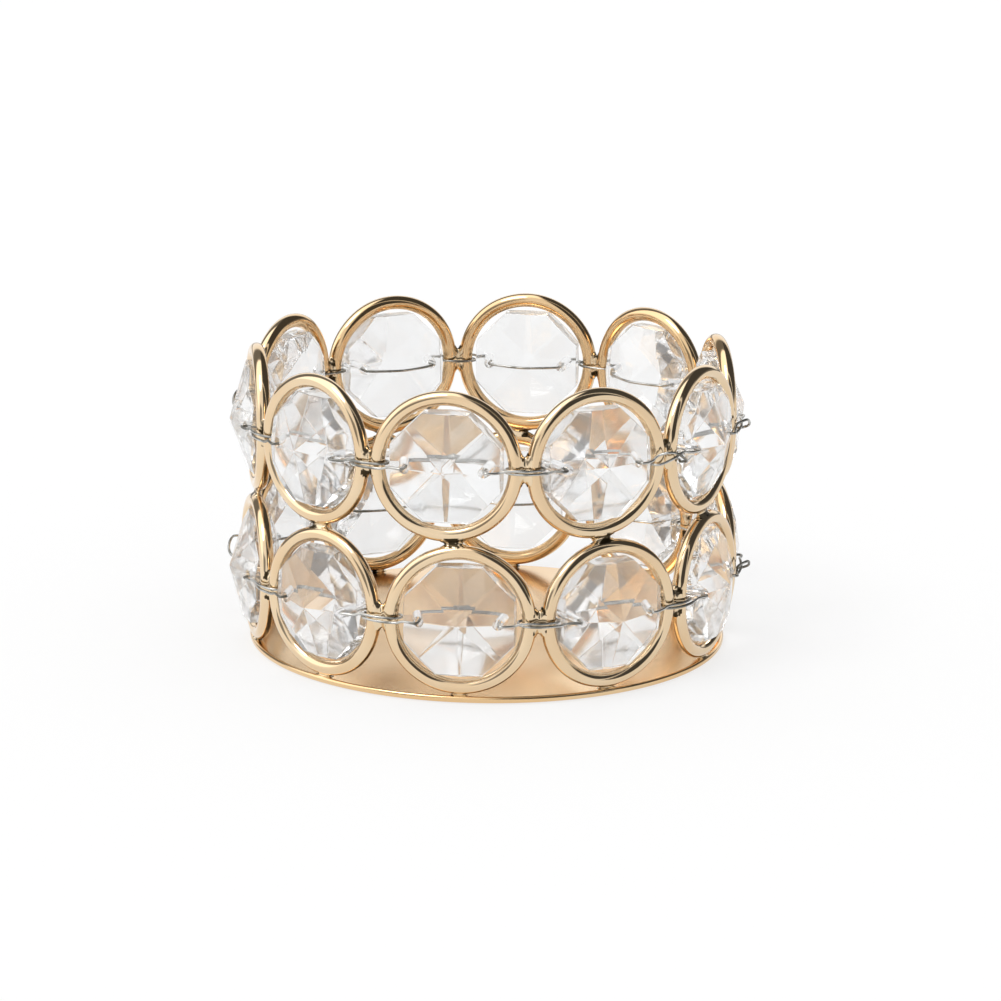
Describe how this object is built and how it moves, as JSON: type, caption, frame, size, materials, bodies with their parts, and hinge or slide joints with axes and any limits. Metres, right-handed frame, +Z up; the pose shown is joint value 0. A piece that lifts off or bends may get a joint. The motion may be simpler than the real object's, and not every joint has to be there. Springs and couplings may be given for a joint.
{
  "type": "crystal candle lantern",
  "caption": "Open tealight holder: stacked rows of soldered wire rings on a thin round plate, each ring holding an octagonal crystal bead that rocks on a binding wire.",
  "frame": {"origin": "middle of the base plate's underside", "axes": "+Z up along the holder's axis, front of the holder towards -Y"},
  "size_m": [0.0646, 0.0642, 0.0374],
  "materials": {
    "ring_gold": "polished plating",
    "plate_gold": "polished plating, lightly brushed",
    "clear_crystal": "clear, cut facets",
    "silver_wire": "drawn"
  },
  "bodies": {
    "holder": {"base_plate": "plate_gold", "upper_ring_01": "ring_gold", "upper_ring_02": "ring_gold", "upper_ring_03": "ring_gold", "upper_ring_04": "ring_gold", "upper_ring_05": "ring_gold", "upper_ring_06": "ring_gold", "upper_ring_07": "ring_gold", "upper_ring_08": "ring_gold", "upper_ring_09": "ring_gold", "upper_ring_10": "ring_gold", "upper_binding_wire": "silver_wire", "lower_ring_01": "ring_gold", "lower_ring_02": "ring_gold", "lower_ring_03": "ring_gold", "lower_ring_04": "ring_gold", "lower_ring_05": "ring_gold", "lower_ring_06": "ring_gold", "lower_ring_07": "ring_gold", "lower_ring_08": "ring_gold", "lower_ring_09": "ring_gold", "lower_ring_10": "ring_gold", "lower_binding_wire": "silver_wire"},
    "upper_crystal_01": {"upper_crystal_01": "clear_crystal"},
    "upper_crystal_02": {"upper_crystal_02": "clear_crystal"},
    "upper_crystal_03": {"upper_crystal_03": "clear_crystal"},
    "upper_crystal_04": {"upper_crystal_04": "clear_crystal"},
    "upper_crystal_05": {"upper_crystal_05": "clear_crystal"},
    "upper_crystal_06": {"upper_crystal_06": "clear_crystal"},
    "upper_crystal_07": {"upper_crystal_07": "clear_crystal"},
    "upper_crystal_08": {"upper_crystal_08": "clear_crystal"},
    "upper_crystal_09": {"upper_crystal_09": "clear_crystal"},
    "upper_crystal_10": {"upper_crystal_10": "clear_crystal"},
    "lower_crystal_01": {"lower_crystal_01": "clear_crystal"},
    "lower_crystal_02": {"lower_crystal_02": "clear_crystal"},
    "lower_crystal_03": {"lower_crystal_03": "clear_crystal"},
    "lower_crystal_04": {"lower_crystal_04": "clear_crystal"},
    "lower_crystal_05": {"lower_crystal_05": "clear_crystal"},
    "lower_crystal_06": {"lower_crystal_06": "clear_crystal"},
    "lower_crystal_07": {"lower_crystal_07": "clear_crystal"},
    "lower_crystal_08": {"lower_crystal_08": "clear_crystal"},
    "lower_crystal_09": {"lower_crystal_09": "clear_crystal"},
    "lower_crystal_10": {"lower_crystal_10": "clear_crystal"}
  },
  "joints": [
    {"name": "upper_crystal_01_rock", "type": "hinge", "parent": "holder", "child": "upper_crystal_01", "pos_m": [-0.02815, -0.00411, 0.02837], "axis": [0.1444, -0.9895, 0], "range_deg": [-14, 10]},
    {"name": "upper_crystal_02_rock", "type": "hinge", "parent": "holder", "child": "upper_crystal_02", "pos_m": [-0.02036, -0.01987, 0.02837], "axis": [0.6984, -0.7157, 0], "range_deg": [-9, 15]},
    {"name": "upper_crystal_03_rock", "type": "hinge", "parent": "holder", "child": "upper_crystal_03", "pos_m": [-0.00479, -0.02804, 0.02837], "axis": [0.9857, -0.1685, 0], "range_deg": [-13.5, 10.5]},
    {"name": "upper_crystal_04_rock", "type": "hinge", "parent": "holder", "child": "upper_crystal_04", "pos_m": [0.0126, -0.0255, 0.02837], "axis": [0.8965, 0.4431, 0], "range_deg": [-10, 14]},
    {"name": "upper_crystal_05_rock", "type": "hinge", "parent": "holder", "child": "upper_crystal_05", "pos_m": [0.02519, -0.01322, 0.02837], "axis": [0.4648, 0.8854, 0], "range_deg": [-15, 9]},
    {"name": "upper_crystal_06_rock", "type": "hinge", "parent": "holder", "child": "upper_crystal_06", "pos_m": [0.02815, 0.00411, 0.02837], "axis": [-0.1444, 0.9895, 0], "range_deg": [-7, 17]},
    {"name": "upper_crystal_07_rock", "type": "hinge", "parent": "holder", "child": "upper_crystal_07", "pos_m": [0.02036, 0.01987, 0.02837], "axis": [-0.6984, 0.7157, 0], "range_deg": [-14, 10]},
    {"name": "upper_crystal_08_rock", "type": "hinge", "parent": "holder", "child": "upper_crystal_08", "pos_m": [0.00479, 0.02804, 0.02837], "axis": [-0.9857, 0.1685, 0], "range_deg": [-11, 13]},
    {"name": "upper_crystal_09_rock", "type": "hinge", "parent": "holder", "child": "upper_crystal_09", "pos_m": [-0.0126, 0.0255, 0.02837], "axis": [-0.8965, -0.4431, 0], "range_deg": [-15.5, 8.5]},
    {"name": "upper_crystal_10_rock", "type": "hinge", "parent": "holder", "child": "upper_crystal_10", "pos_m": [-0.02519, 0.01322, 0.02837], "axis": [-0.4648, -0.8854, 0], "range_deg": [-9.5, 14.5]},
    {"name": "lower_crystal_01_rock", "type": "hinge", "parent": "holder", "child": "lower_crystal_01", "pos_m": [-0.02815, -0.00593, 0.01004], "axis": [0.2062, -0.9785, 0], "range_deg": [-9, 15]},
    {"name": "lower_crystal_02_rock", "type": "hinge", "parent": "holder", "child": "lower_crystal_02", "pos_m": [-0.01929, -0.02135, 0.01004], "axis": [0.742, -0.6704, 0], "range_deg": [-14.5, 9.5]},
    {"name": "lower_crystal_03_rock", "type": "hinge", "parent": "holder", "child": "lower_crystal_03", "pos_m": [-0.00306, -0.02861, 0.01004], "axis": [0.9943, -0.1063, 0], "range_deg": [-10, 14]},
    {"name": "lower_crystal_04_rock", "type": "hinge", "parent": "holder", "child": "lower_crystal_04", "pos_m": [0.01434, -0.02494, 0.01004], "axis": [0.8669, 0.4985, 0], "range_deg": [-15, 9]},
    {"name": "lower_crystal_05_rock", "type": "hinge", "parent": "holder", "child": "lower_crystal_05", "pos_m": [0.02626, -0.01175, 0.01004], "axis": [0.4083, 0.9128, 0], "range_deg": [-7.5, 16.5]},
    {"name": "lower_crystal_06_rock", "type": "hinge", "parent": "holder", "child": "lower_crystal_06", "pos_m": [0.02815, 0.00593, 0.01004], "axis": [-0.2062, 0.9785, 0], "range_deg": [-16, 8]},
    {"name": "lower_crystal_07_rock", "type": "hinge", "parent": "holder", "child": "lower_crystal_07", "pos_m": [0.01929, 0.02135, 0.01004], "axis": [-0.742, 0.6704, 0], "range_deg": [-10.5, 13.5]},
    {"name": "lower_crystal_08_rock", "type": "hinge", "parent": "holder", "child": "lower_crystal_08", "pos_m": [0.00306, 0.02861, 0.01004], "axis": [-0.9943, 0.1063, 0], "range_deg": [-14, 10]},
    {"name": "lower_crystal_09_rock", "type": "hinge", "parent": "holder", "child": "lower_crystal_09", "pos_m": [-0.01434, 0.02494, 0.01004], "axis": [-0.8669, -0.4985, 0], "range_deg": [-9.5, 14.5]},
    {"name": "lower_crystal_10_rock", "type": "hinge", "parent": "holder", "child": "lower_crystal_10", "pos_m": [-0.02626, 0.01175, 0.01004], "axis": [-0.4083, -0.9128, 0], "range_deg": [-13, 11]}
  ]
}
